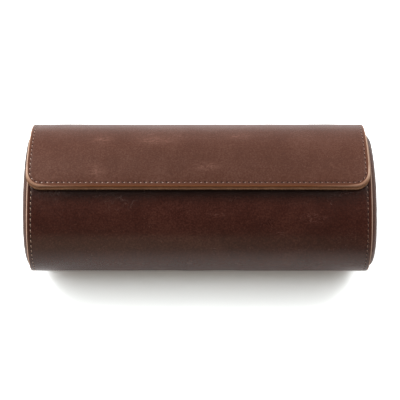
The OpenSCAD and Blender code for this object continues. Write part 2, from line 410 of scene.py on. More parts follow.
def waxed_leather(
    name, deep, middle, pale, margin, raw, roughness, scuffing,
    raw_width=0.0, handled=None, shine=0.36, sheen=0.0,
):
    """Waxed pull-up leather: cloudy colour, pale scuffs and creases, a polished margin and a tan raw edge.

    Painted shade: the edge's colour turns from raw to the shaded edge colour
    where the attribute of the same name is 1, and the hide darkens where its
    attribute for painted shade is 1. The attribute worn widens the raw edge,
    and scuffed scrapes the wax off in short strokes.
    """
    look = Finish(name)
    place = look.place()
    # The hide's colour: clouds, fine speckle and streaks along the case.
    cloud = look.noise(place, 0.030, 4, 0.60, 0.5)
    speckle = look.noise(place, 0.95, 4, 0.8)
    depth = look.fade(cloud * 0.65 + (speckle - 0.5) * 1.7 + 0.18, 0.22, 0.80)
    hide = look.ramp(depth, (0.0, deep), (0.50, middle), (1.0, pale))
    streaks = look.noise(look.place((170, 24, 24)), 1, 5, 0.65, 0.3)
    hide = look.mix(look.fade(streaks, 0.52, 0.80) * 0.30, hide, pale)
    # Wear: creases in patches, small flecks, brushed places and scraped strokes turn the wax pale.
    crease_field = look.noise(place, 0.06, 3, 0.55, 1.4)
    crease = 1 - look.fade(abs(crease_field - 0.5), 0.0, 0.005)
    patch = look.fade(look.noise(place, 0.018, 2, 0.5), 0.54, 0.68)
    fleck = 1 - look.fade(look.cells(place, 0.11), 0.02, 0.09)
    brush = look.fade(look.noise(look.place((70, 45, 70)), 1, 3, 0.6, 1.0), 0.62, 0.74)
    brushed = brush * look.fade(look.noise(place, 0.35, 4, 0.7), 0.45, 0.70) * 0.30
    strokes = look.fade(look.noise(look.place((330, 900, 900)), 1, 3, 0.7, 0.8), 0.40, 0.66)
    scraped = look.attribute("scuffed") * strokes
    flecked = fleck * look.fade(speckle, 0.52, 0.62) * 0.45
    scuff = (crease * patch * 0.45 + flecked + brushed + scraped) * scuffing
    hide = look.mix(scuff, hide, tuple(min(1, c * 1.9 + 0.02) for c in pale))
    # Painted shade: where its attribute is 1, the hide darkens towards a quarter of its deep colour.
    hide = look.mix(look.attribute("rubbed"), hide, tuple(c * 0.25 for c in deep))
    # The polished margin and the cut edge, by their distance from the edge in millimetres.
    rim = look.attribute("rim") * 1000
    outside = look.attribute("outside")
    fuzz = look.noise(place, 1.6, 3, 0.7)
    margin_share = (1 - look.fade(rim + speckle - 0.5, 0.9, 2.5)) * outside
    hide = look.mix(margin_share * 0.85, hide, margin)
    worn_rim = rim - look.attribute("worn") * 0.9
    cut = 1 - look.fade(worn_rim + (fuzz - 0.5) * 0.35, 0.20 + raw_width, 0.50 + raw_width)
    raw_colour = look.ramp(fuzz, (0.25, tuple(c * 0.60 for c in raw)), (0.70, raw))
    # Painted shade: where its attribute is 1, the raw edge takes the darker shaded edge colour.
    if handled:
        polished = look.ramp(fuzz, (0.25, tuple(c * 0.60 for c in handled)), (0.70, handled))
        raw_colour = look.mix(look.attribute("handled"), raw_colour, polished)
    hide = look.mix(cut, hide, raw_colour)
    # Relief: pores and grain, soft dents, creases and the fibres of the cut edge.
    pores = look.cells(place, 1.15, "DISTANCE_TO_EDGE")
    grain = look.fade(pores, 0.0, 0.16) * 0.5 + look.noise(place, 2.6, 3, 0.6) * 0.5
    dents = look.noise(place, 0.7, 2, 0.5) * 0.00008 + look.noise(place, 0.2, 3, 0.5) * 0.00016
    height = grain * 0.00010 + dents + crease * patch * -0.00008 + fuzz * cut * 0.00018
    smear = look.noise(place, 0.09, 4, 0.6) * 0.12
    gloss = smear + roughness - 0.06 + speckle * 0.06 + scuff * 0.15 + cut * 0.35
    return look.surface(
        {
            "Base Color": hide,
            "Roughness": gloss,
            "Specular IOR Level": shine,
            "Specular Tint": (1.0, 0.88, 0.79),
            "Sheen Weight": sheen,
            "Sheen Roughness": 0.22,
            "Normal": look.bump(height, 0.5),
        }
    )


def crowd(length, coarse):
    """Places from 0 to length: close steps in the 5 mm at both ends, for the round edge, coarse between."""
    edge = np.concatenate([[0, 0.08, 0.2, 0.36, 0.55, 0.75, 1.0], np.arange(1.4, 5.2, 0.5)]) * 0.001
    inner = np.linspace(edge[-1], length - edge[-1], max(2, round((length - 2 * edge[-1]) / coarse)))[1:-1]
    return np.concatenate([edge, inner, length - edge[::-1]])


def seam_dent(rim, inset):
    """Depth of the groove under the pulled thread: it falls as exp(-(d / width)^2) from inset of the edge."""
    return groove_depth * np.exp(-(((rim - inset) / groove_width) ** 2))


def scraped_spots(x, way, spots):
    """How scraped each flat place is: 1 in the middle of a spot, falling as exp(-(dx/a)^2 - (dway/b)^2)."""
    near = [np.exp(-(((x - at_x) / a) ** 2) - ((way - at_way) / b) ** 2) for at_x, at_way, a, b in spots]
    return np.sum(near, axis=0)


wrap_finish = waxed_leather(
    "waxed_brown_leather",
    deep=(0.030, 0.0076, 0.0049),
    middle=(0.044, 0.0110, 0.0072),
    pale=(0.070, 0.0225, 0.0150),
    margin=(0.066, 0.0195, 0.0105),
    raw=(0.74, 0.49, 0.37),
    roughness=0.22,
    scuffing=0.9,
    raw_width=0.30,
    handled=(0.52, 0.325, 0.240),
)

wrap_half = half_length + raw_swell
wrap_columns = crowd(2 * wrap_half, 0.0021) - wrap_half
window_low = lip_way - mouth_facing
window_high = hinge_way + mouth_facing
wrap_ways = np.concatenate(
    [
        np.linspace(window_high - girth, window_low, 190, endpoint=False),
        np.linspace(window_low, window_high, 60, endpoint=False),
    ]
)
wrap_x, wrap_way = np.meshgrid(wrap_columns, wrap_ways)
window_x = half_length - mouth_rim + mouth_facing
column_edge = np.argmin(np.abs(wrap_columns - window_x))
wrap_x[:, column_edge] = window_x
wrap_x[:, len(wrap_columns) - 1 - column_edge] = -window_x
wrap_rim = wrap_half - np.abs(wrap_x)
middle_x = (wrap_x[:, 1:] + wrap_x[:, :-1]) / 2
middle_way = (wrap_way + np.roll(wrap_way, -1, axis=0))[:, 1:] / 2
middle_way[-1] = wrap_ways[-1]
solid_here = ~((np.abs(middle_x) < window_x) & (middle_way > window_low))
flap_front = way_of(math.pi - math.asin(-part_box("flap_leather")[0].y / flat_radius))
ahead = flap_front - np.mod(wrap_way, girth)

# Painted shadow of the flap's edge: a dark band across the wrap, lighter near the ends.
shadow_under = 0.004
shadow_reach = 0.0078
shadow_lighter_from = 0.080
shadow_lighter_over = 0.025
rubbed = np.where(ahead > -shadow_under, np.exp(-((np.clip(ahead, 0, None) / shadow_reach) ** 2.5)), 0)
rubbed = rubbed * (1 - 0.5 * np.clip((np.abs(wrap_x) - shadow_lighter_from) / shadow_lighter_over, 0, 1))

# Three old scuffs in front of the flap: x, the way ahead of its edge, and how far each reaches.
wrap_spots = [
    (0.050, 0.0285, 0.0055, 0.0016),
    (0.072, 0.0190, 0.0090, 0.0040),
    (0.012, 0.0165, 0.0075, 0.0014),
]
wrap_scuffs = scraped_spots(wrap_x, ahead, wrap_spots) * 0.36
# Painted shade: the raw edge at the right end takes a darker colour, as the light falls from the left.
wrap = leather_sheet(
    "wrap", wrap_x, wrap_way, wrap_rim, 0.0, -wrap_thick, wrap_finish, wrap_edge_round,
    closed=True, keep=solid_here, uneven=0.00011, seed=4, press=seam_dent(wrap_rim, seam_inset),
    marks={"rubbed": rubbed, "handled": wrap_x > 0, "scuffed": wrap_scuffs},
)
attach(wrap, "case")
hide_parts("body_leather")


# ---- The mouth's binding ---------------------------------
# A narrow strip of dark leather is glued round the cut edges of the mouth, so
# that it covers the ends of the leather, the board and the suede.
trim_finish = waxed_leather(
    "dark_trim_leather",
    deep=(0.022, 0.009, 0.006),
    middle=(0.034, 0.0135, 0.009),
    pale=(0.060, 0.026, 0.018),
    margin=(0.034, 0.0135, 0.009),
    raw=(0.034, 0.0135, 0.009),
    roughness=0.40,
    scuffing=0.3,
)
dress(trim_finish, "mouth_binding")


# ---- The stitching of the wrap ---------------------------
# Waxed cream thread, saddle-stitched by hand through the wrap and the rim of
# each end: every stitch leans a little and dives into its awl hole.
stitch_pitch = 0.0035
stitch_length = 0.0026
stitch_lean = math.radians(11)
stitch_rise = 0.00022
stitch_dive = 0.0002
thread_radius = 0.00016
awl_radius = 0.00043
awl_depth = 0.0001
hole_sink = 0.00004


def thread_finish(name, colour, turn):
    """Waxed linen thread, twisted plies, dirty on top; turn colours a painted highlight by its hole."""
    look = Finish(name)
    place = look.place()
    dirt = look.noise(place, 0.9, 3, 0.6)
    twist = look.noise(place, 4.0, 2, 0.5)
    shade = look.mix(look.fade(dirt, 0.4, 0.75) * 0.5, colour, tuple(c * 0.5 for c in colour))
    shade = look.mix(look.fade(look.attribute("along"), 0.05, 0.45) * look.attribute("clean"), shade, turn)
    return look.surface({"Base Color": shade, "Roughness": 0.62, "Normal": look.bump(twist * 0.0001, 0.8)})


def stitches(name, x, way, heading, lift, finish, clean=1.0):
    """A row of stitches laid on the tube. Each stitch's upper half is pale, a painted
    highlight, in full where the last argument is 1.

    Each is a tube of six sides along seven rings: its centre line bows as
    lift + rise * (1 - t^4) - dive, so both ends go in, and its radius follows
    sqrt(1 - t^6). All of them are worked out as one array.
    """
    rings = np.linspace(-1, 1, 7)
    sides = np.arange(6) * math.pi / 3
    radius = thread_radius * np.sqrt(np.clip(1 - np.abs(rings) ** 6, 0.02, 1))
    along = rings[:, None] * stitch_length / 2 + 0 * sides
    across = radius[:, None] * np.cos(sides)
    up = radius[:, None] * np.sin(sides) + (stitch_rise * (1 - rings**4) - stitch_dive)[:, None]
    lean = np.asarray(heading)[:, None, None] + stitch_lean
    flat_x = np.asarray(x)[:, None, None] + along * np.cos(lean) - across * np.sin(lean)
    flat_way = np.asarray(way)[:, None, None] + along * np.sin(lean) + across * np.cos(lean)
    points = around(flat_x, flat_way, lift + up)
    count, ring_count, side_count = points.shape[:3]
    size = ring_count * side_count
    side = np.arange(side_count)
    caps = np.stack([side, size - side_count + side[::-1]])
    step = (np.arange(count) * size)[:, None, None]
    walls = ring_faces(ring_count, side_count) + step
    faces = [walls.reshape(-1, 4), (caps + step).reshape(-1, side_count)]
    along = np.tile(np.repeat(rings, side_count), count)
    marks = {"along": along, "clean": np.repeat(clean * np.ones(count), size)}
    return put_mesh(name, points.reshape(-1, 3), faces, finish, attributes=marks)


def awl_holes(name, x, way, lift, finish):
    """The dark mouths of the awl holes between stitches: shallow six-sided cones."""
    sides = np.arange(6) * math.pi / 3
    flat_x = np.asarray(x)[:, None] + awl_radius * np.cos(sides)
    flat_way = np.asarray(way)[:, None] + awl_radius * np.sin(sides)
    ring = around(flat_x, flat_way, lift)
    middle = around(x, way, lift - awl_depth)[:, None]
    points = np.concatenate([ring, middle], axis=1)
    count = len(points)
    fan = np.stack([np.arange(6), (np.arange(6) + 1) % 6, np.full(6, 6)], -1)
    faces = (fan + (np.arange(count) * 7)[:, None, None]).reshape(-1, 3)
    return put_mesh(name, points.reshape(-1, 3), faces, finish)


# Each thread's second colour is the colour of its painted highlight.
cream_thread = thread_finish("cream_thread", (0.34, 0.205, 0.140), (0.90, 0.64, 0.50))
dull_thread = thread_finish("dull_thread", (0.16, 0.078, 0.052), (0.44, 0.26, 0.185))
flap_thread = thread_finish("flap_thread", (0.190, 0.088, 0.060), (1.0, 0.80, 0.68))
# Painted shade: the awl holes are shallow cones coloured almost black, for the shade inside the holes.
hole_look = Finish("awl_hole")
hole_noise = hole_look.noise(hole_look.place(), 2.0)
hole_shade = hole_look.ramp(hole_noise, (0.2, (0.008, 0.004, 0.003)), (0.8, (0.02, 0.01, 0.007)))
hole_finish = hole_look.surface({"Base Color": hole_shade, "Roughness": 0.9})

# The right end is the one that is held, so its thread is dirtier.
wrap_count = round(girth / stitch_pitch)
wrap_round = np.full(wrap_count, math.pi / 2)
stitch_ways = np.arange(wrap_count) * girth / wrap_count
for side, word in ((-1, "left"), (1, "right")):
    seam_x = np.full(wrap_count, side * (wrap_half - seam_inset))
    thread = cream_thread if side < 0 else dull_thread
    row = stitches(f"wrap_stitches_{word}", seam_x, stitch_ways, wrap_round, -groove_depth, thread)
    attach(row, "case")
    hole_ways = stitch_ways + girth / wrap_count / 2
    holes = awl_holes(f"wrap_holes_{word}", seam_x, hole_ways, -hole_sink, hole_finish)
    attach(holes, "case")


# ---- The padded ends -------------------------------------
# Each end is a board with a foam pad, covered with the same leather. It sits
# inside the wrap's raw edge and bulges past it like a small cushion.
sponge = Finish("cream_foam")
sponge_cells = sponge.cells(sponge.place(), 1.4)
sponge_colour = sponge.ramp(sponge_cells, (0.0, (0.52, 0.46, 0.30)), (0.6, (0.70, 0.64, 0.46)))
foam_finish = sponge.surface(
    {"Base Color": sponge_colour, "Roughness": 0.95, "Normal": sponge.bump(sponge_cells * 0.0004, 0.8)}
)
dress(foam_finish, "end_pad_left", "end_pad_right")

# Painted light: the ends' leather is a lighter copy of the wrap's, for the light that falls on them from the
# sides.
end_finish = waxed_leather(
    "end_leather",
    deep=(0.052, 0.0170, 0.0095),
    middle=(0.072, 0.0250, 0.0145),
    pale=(0.105, 0.0420, 0.0260),
    margin=(0.105, 0.0420, 0.0260),
    raw=(0.74, 0.49, 0.37),
    roughness=0.40,
    scuffing=1.0,
    shine=0.34,
    sheen=1.0,
)
end_groove = 0.0006
end_shoulder = 0.0060
end_rim_height = 0.0019
end_tuck = 0.0004
end_step = 0.0003
end_fold = 0.00012
end_crown = 0.0002
end_tip = 0.00005
end_low, end_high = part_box("end_leather_right")
# The left end was pulled a little tighter over its pad than the right one.
# plump is how far the middle stands past its solid, and lean how far the back
# leans out and the front in.
end_plump = {-1: 0.0002, 1: 0.0005}
end_lean = {-1: 0.0006, 1: 0.0}


def end_dome(name, side, seed):
    """A crowned leather disc on the tube's end.

    Rings run from the board up over a quarter-ellipse shoulder, where the lift
    falls by shoulder * (1 - cos t) and x rises by sin t, then shrink evenly to
    the middle. Fine folds of the turned leather fade out across the shoulder.
    """
    ways = np.linspace(0, girth, 300, endpoint=False)
    rim_lift = -wrap_thick - end_groove
    base = end_low.x
    crown = end_high.x + end_plump[side]
    level = base + end_rim_height / 2
    rings = [around(base, ways, rim_lift - end_tuck), around(base + end_step, ways, rim_lift)]
    for t in np.linspace(0, math.pi / 2, 16):
        fold = end_fold * waves(0, ways, 0.007, seed) * math.cos(t) ** 2
        lift = rim_lift - end_shoulder * (1 - math.cos(t))
        rings.append(around(level + (crown - level - end_crown) * math.sin(t) + fold, ways, lift + fold))
    edge = rings[-1]
    middle = np.array([crown, 0, axis_z])
    for share in np.linspace(0, 1, 16)[1:-1]:
        inner = edge + (middle - edge) * share
        ripple = end_fold * waves(inner[:, 1] * 3, inner[:, 2] * 3, 0.05, seed + 1)
        inner[:, 0] = crown - end_crown * (1 - share) + ripple
        rings.append(inner)
    for ring in rings:
        ring[:, 0] += end_lean[side] * ring[:, 1] / half_depth
    points = np.concatenate(rings + [middle[None] + (end_tip, 0, 0), np.array([[base, 0, axis_z]])])
    count = len(rings)
    faces = grid_faces(count, len(ways))
    seam = np.arange(count - 1) * len(ways)
    last = len(ways) - 1
    closing = np.stack([seam + last, seam, seam + len(ways), seam + len(ways) + last], -1)
    faces = np.concatenate([faces, closing])
    ring = np.arange(len(ways))
    top = (count - 1) * len(ways)
    crown_fan = np.stack([top + ring, top + (ring + 1) % len(ways), np.full(len(ways), len(points) - 2)], -1)
    base_fan = np.stack([(ring + 1) % len(ways), ring, np.full(len(ways), len(points) - 1)], -1)
    if side < 0:
        points = points * (-1, 1, 1)
    faces = [faces, crown_fan, base_fan]
    if side < 0:
        faces = [f[:, ::-1] for f in faces]
    # Painted shade: the rings nearest the board are darkened, in the groove beside the wrap.
    groove_shade = np.concatenate([np.repeat(np.clip(1 - np.arange(count) / 7, 0, 1), len(ways)), [0, 1]])
    marks = {"rim": np.full(len(points), 0.02), "outside": np.ones(len(points)), "rubbed": groove_shade * 0.8}
    return put_mesh(name, points, faces, end_finish, attributes=marks)


for side, word in ((-1, "left"), (1, "right")):
    dome = end_dome(f"padded_end_{word}", side, 20 + side)
    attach(dome, "case")
    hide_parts(f"end_leather_{word}")


# ---- The flap's outer leather ----------------------------
# A second piece of the same leather, sewn to the back of the case low down. It
# bends just above that seam, comes over the top and ends in a straight edge
# with two round corners. Its margin is polished pale and its cut edge is left
# raw. Its colours are a lighter copy of the wrap's: painted light.
flap_low, flap_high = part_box("flap_leather")
flap_middle = (flap_low.x + flap_high.x) / 2
flap_half = (flap_high.x - flap_low.x) / 2
flap_outer = flap_high.z - wrap_high.z
flap_thick = 0.0018
flap_edge_round = 0.0010
flap_corner = 0.0095
flap_back_corner = 0.003
corner_worn_to = 0.016
corner_worn_over = 0.008
flap_seam_inset = 0.0027
strip_sweep = 0.0110

strip_way = way_of(hinge_turn + strip_sweep / tight_radius)
free_way = way_of(math.pi - math.asin(-flap_low.y / (flat_radius + flap_outer)))


def flap_grid(free):
    """Flat places of a flap layer: way from its free edge to its sewn edge, x between its two sides.

    Near each end the half width shrinks by r - sqrt(r^2 - (r - d)^2), which
    rounds the corners. Returns x, way and the distance to the nearest edge.
    """
    depth = crowd(strip_way - free, 0.0016)
    extra = flap_corner * (1 - np.cos(np.linspace(0, math.pi / 2, 22)))
    depth = np.unique(np.round(np.concatenate([depth, extra]), 7))
    total = depth[-1]
    across = crowd(2 * flap_half, 0.0021) / flap_half - 1

    def lost(distance, radius):
        return radius - np.sqrt(np.clip(radius**2 - np.clip(radius - distance, 0, radius) ** 2, 0, None))

    half = flap_half - lost(depth, flap_corner) - lost(total - depth, flap_back_corner)
    flat_depth = np.broadcast_to(depth[:, None], (len(depth), len(across)))
    flat_x = half[:, None] * across[None, :]
    side_gap = flap_half - np.abs(flat_x)
    end_gap = np.minimum(flat_depth, total - flat_depth)
    rim = np.minimum(side_gap, end_gap)
    for gap, radius in ((flat_depth, flap_corner), (total - flat_depth, flap_back_corner)):
        in_corner = (side_gap < radius) & (gap < radius)
        corner_rim = radius - np.hypot(radius - side_gap, radius - gap)
        rim = np.where(in_corner, corner_rim, rim)
    return flap_middle + flat_x, free + flat_depth, np.clip(rim, 0, None)


# Painted light: the flap's colours are a lighter copy of the wrap's, for the light it gets above the wrap.
flap_finish = waxed_leather(
    "waxed_flap_leather",
    deep=(0.079, 0.0265, 0.0160),
    middle=(0.099, 0.0350, 0.0215),
    pale=(0.130, 0.0550, 0.0375),
    margin=(0.128, 0.0440, 0.0205),
    raw=(0.80, 0.53, 0.39),
    roughness=0.33,
    scuffing=1.0,
    raw_width=0.35,
    handled=(0.240, 0.086, 0.032),
    shine=0.22,
)
flap_x, flap_way, flap_rim = flap_grid(free_way)


def front_edge_shade(x, way, free):
    """Painted shade on the cut edge: 1 along the free edge, less near its corners, 0 up the sides."""
    front = np.clip(1.5 - (way - free) / 0.007, 0, 1)
    return front * (1 - 0.30 * np.clip((np.abs(x) - 0.070) / 0.030, 0, 1))


# Painted shade: the wax over the middle of the flap's front is darkened.
middle_shade_across = np.exp(-(((flap_x - 0.008) / 0.085) ** 4))
middle_shade = 0.22 * middle_shade_across / (1 + np.exp((flap_way - free_way - 0.030) / 0.004))

# The two front corners have worn most, and the wear ends a little way past each.
from_corner = (flap_half - np.abs(flap_x - flap_middle)) + (flap_way - free_way)

# Five scuffs on the flap: x, the way back from its free edge, and how far each reaches.
flap_spots = [
    (-0.063, 0.035, 0.0050, 0.0030),
    (-0.028, 0.034, 0.0100, 0.0030),
    (-0.066, 0.010, 0.0040, 0.0040),
    (0.026, 0.038, 0.0060, 0.0020),
    (0.005, 0.013, 0.0080, 0.0030),
]
flap_marks = {
    "handled": front_edge_shade(flap_x, flap_way, free_way),
    "rubbed": middle_shade,
    "worn": np.clip((corner_worn_to - from_corner) / corner_worn_over, 0, 1),
    "scuffed": scraped_spots(flap_x, flap_way - free_way, flap_spots) * 0.65,
}
flap_skin = leather_sheet(
    "flap_skin", flap_x, flap_way, flap_rim, flap_outer, flap_outer - flap_thick, flap_finish,
    flap_edge_round, uneven=0.00012, seed=9, press=seam_dent(flap_rim, flap_seam_inset), marks=flap_marks,
)
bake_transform(flap_skin)
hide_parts("flap_leather", "hinge_strip")


# ---- The flap's backing ----------------------------------
# A layer of undyed tan leather, bonded flesh side in. Bending the two layers
# together pushes its free edge out past the outer leather, so it shows.
backing_low, backing_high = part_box("flap_backing")
backing_outer = backing_high.z - wrap_high.z
backing_inner = 0.00035
backing_edge_round = 0.0004
backing_show = 0.0004
backing_free = way_of(math.pi - math.asin(-backing_low.y / (flat_radius + backing_inner))) - backing_show

flesh = Finish("tan_backing_leather")
flesh_place = flesh.place()
flesh_cloud = flesh.noise(flesh_place, 0.12, 5, 0.65)
flesh_fibre = flesh.noise(flesh.place((900, 2200, 2200)), 0.8, 4, 0.7)
flesh_colour = flesh.ramp(
    flesh_cloud, (0.25, (0.20, 0.088, 0.040)), (0.55, (0.29, 0.135, 0.066)), (0.8, (0.38, 0.20, 0.105))
)
flesh_rim = flesh.attribute("rim") * 1000
flesh_cut = 1 - flesh.fade(flesh_rim + (flesh_fibre - 0.5) * 0.4, 0.15, 0.6)
flesh_edge = flesh.ramp(
    flesh_fibre, (0.34, (0.20, 0.080, 0.030)), (0.5, (0.38, 0.175, 0.075)), (0.70, (0.66, 0.39, 0.20))
)
# Painted shade: the backing's cut edge turns darker along the flap's free edge.
flesh_edge_shade = flesh.ramp(
    flesh_fibre, (0.34, (0.052, 0.019, 0.008)), (0.5, (0.112, 0.048, 0.021)), (0.68, (0.29, 0.152, 0.078))
)
flesh_edge = flesh.mix(flesh.attribute("handled"), flesh_edge, flesh_edge_shade)
flesh_colour = flesh.mix(flesh_cut, flesh_colour, flesh_edge)
backing_finish = flesh.surface(
    {
        "Base Color": flesh_colour,
        "Roughness": 0.85,
        "Normal": flesh.bump(flesh_fibre * 0.0003 + flesh_cloud * 0.0002, 0.9),
    }
)
backing_x, backing_way, backing_rim = flap_grid(backing_free)
flap_backing = leather_sheet(
    "flap_backing_skin", backing_x, backing_way, backing_rim, backing_outer, backing_inner, backing_finish,
    backing_edge_round, marks={"handled": front_edge_shade(backing_x, backing_way, backing_free)},
)
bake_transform(flap_backing)
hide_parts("flap_backing")


# ---- The stitching of the flap ---------------------------
# One continuous row of the same thread goes all the way round the flap,
# through both of its layers and across the strip that is sewn to the case.
thread_sink = 0.00014
heading_step = 0.0005


def path_run(path):
    """Distance along a path of flat points to each of them."""
    return np.concatenate([[0], np.cumsum(np.hypot(*np.diff(path, axis=0).T))])


def on_path(path, run, spots):
    """The points that lie at those distances along the path."""
    return np.stack([np.interp(spots, run, path[:, k]) for k in (0, 1)], -1)


def seam_path(inset):
    """Even places round the flap, inset from its edge: a loop with two round front corners.

    The loop is laid out as short straight steps, and then cut at equal lengths.
    """
    half = flap_half - inset
    top = free_way + inset
    low = strip_way - inset
    radius = flap_corner - inset
    swing = np.linspace(0, math.pi / 2, 20)
    left = np.stack([-half + radius - radius * np.sin(swing), top + radius - radius * np.cos(swing)], -1)
    right = left[::-1] * (-1, 1)
    loop = np.concatenate([left, [[-half, low]], [[half, low]], right, left[:1]])
    run = path_run(loop)
    count = round(run[-1] / stitch_pitch)
    spots = (np.arange(count) + 0.5) * run[-1] / count
    x, way = on_path(loop, run, spots).T
    ahead_x, ahead_way = on_path(loop, run, spots + heading_step).T
    hole_x, hole_way = on_path(loop, run, np.arange(count) * run[-1] / count).T
    heading = np.arctan2(ahead_way - way, ahead_x - x)
    return flap_middle + x, way, heading, flap_middle + hole_x, hole_way


seam_x, seam_way, seam_heading, hole_x, hole_way = seam_path(flap_seam_inset)
# Painted highlight: strongest on the stitches of the flap's left half, weaker on the right.
seam_highlight = 1 - 0.65 / (1 + np.exp(-seam_x / 0.012))
flap_stitches = stitches(
    "flap_stitches", seam_x, seam_way, seam_heading, flap_outer - thread_sink, flap_thread, seam_highlight
)
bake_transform(flap_stitches)
flap_holes = awl_holes("flap_holes", hole_x, hole_way, flap_outer - hole_sink, hole_finish)
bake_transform(flap_holes)


# ---- Cushions --------------------------------------------
# Three foam cushions in suede covers, one for each watch. Each cover is one
# piece wrapped round the foam, with an end piece sewn in along a piped seam.
cushion_finish = suede("cushion_suede", (0.50, 0.355, 0.225))
piping_finish = suede("piping_suede", (0.40, 0.275, 0.170))
cushion_slack = 0.0013
cushion_puff = 0.0011
cloth_steps = 15
cushion_shoulder = 0.0058
cushion_crown = 0.0007
piping_radius = 0.0008
piping_stand = 0.0005
seam_pinch = 0.0011
pinch_width = 0.0016
pucker_height = 0.0003
pucker_size = 0.0062
pucker_reach = 0.0065
section_places = 220


def points_of(mesh):
    """The places of a mesh's points, as one array."""
    places = np.empty(len(mesh.vertices) * 3, np.float32)
    mesh.vertices.foreach_get("co", places)
    return places.reshape(-1, 3).astype(float)


def section_of(node):
    """The outline of a node that is one section carried along the case, as even places round it.

    The corners of its left face are sorted by their turn about the middle, cut at
    equal lengths, and then averaged with their neighbours until no corner is sharp.
    """
    spots = points_of(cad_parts[node].data)
    face = spots[spots[:, 0] < spots[:, 0].min() + 0.00002][:, 1:]
    middle = (face.min(0) + face.max(0)) / 2
    face = face[np.argsort(np.arctan2(face[:, 1] - middle[1], face[:, 0] - middle[0]))]
    loop = np.concatenate([face, face[:1]])
    run = path_run(loop)
    outline = on_path(loop, run, np.linspace(0, run[-1], section_places, endpoint=False))
    for _ in range(14):
        outline = (np.roll(outline, 1, 0) + 2 * outline + np.roll(outline, -1, 0)) / 4
    return outline


def cushion_rings(node, seed):
    """The rings of a cushion from one end to the other, and how near each is to a seam.

    A ring is the section drawn in by an inset, and shrunk to its middle on the
    end faces. The shoulder is a quarter circle: x = end - r (1 - cos t) and
    inset = slack + r (1 - sin t). At its foot the seam pulls the cover in, and
    small puckers run out from it.
    """
    low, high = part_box(node)
    outline = section_of(node)
    ahead = np.roll(outline, -1, 0) - np.roll(outline, 1, 0)
    outward = np.stack([ahead[:, 1], -ahead[:, 0]], -1) / np.hypot(*ahead.T)[:, None]
    length = np.arange(len(outline)) * np.hypot(*ahead.T).mean() / 2
    middle = outline.mean(0)
    end = (high.x - low.x) / 2 - cushion_slack - cushion_crown
    turn = np.linspace(0, math.pi / 2, 8)
    face = np.linspace(0.25, 1, 12)[:-1]
    seam_x = end - cushion_shoulder
    side = np.linspace(seam_x, 0, 18)[1:]
    x = np.concatenate([end + cushion_crown * (1 - face**2), seam_x + cushion_shoulder * np.cos(turn), side])
    inset = np.concatenate([0 * face + cushion_shoulder, cushion_shoulder * (1 - np.sin(turn)), 0 * side])
    inset = inset + cushion_slack
    share = np.concatenate([face, 0 * turn + 1, 0 * side + 1])
    x = np.concatenate([x, -x[-2::-1]])
    inset = np.concatenate([inset, inset[-2::-1]])
    share = np.concatenate([share, share[-2::-1]])
    from_seam = np.abs(x) - seam_x
    near = np.exp(-((from_seam / pinch_width) ** 2)) * (share == 1)
    pucker = np.exp(-((from_seam / pucker_reach) ** 2)) * (share == 1)
    rough = pucker_height * waves(x[:, None] * 0.35, length[None, :], pucker_size, seed) * pucker[:, None]
    pulled = inset[:, None] + seam_pinch * near[:, None] + rough
    ring = middle + (outline - outward * pulled[..., None] - middle) * share[:, None, None]
    rings = np.concatenate([np.broadcast_to(x[:, None, None], (*ring.shape[:2], 1)), ring], -1)
    return rings, np.insert(outward, 0, 0, axis=1), near, share


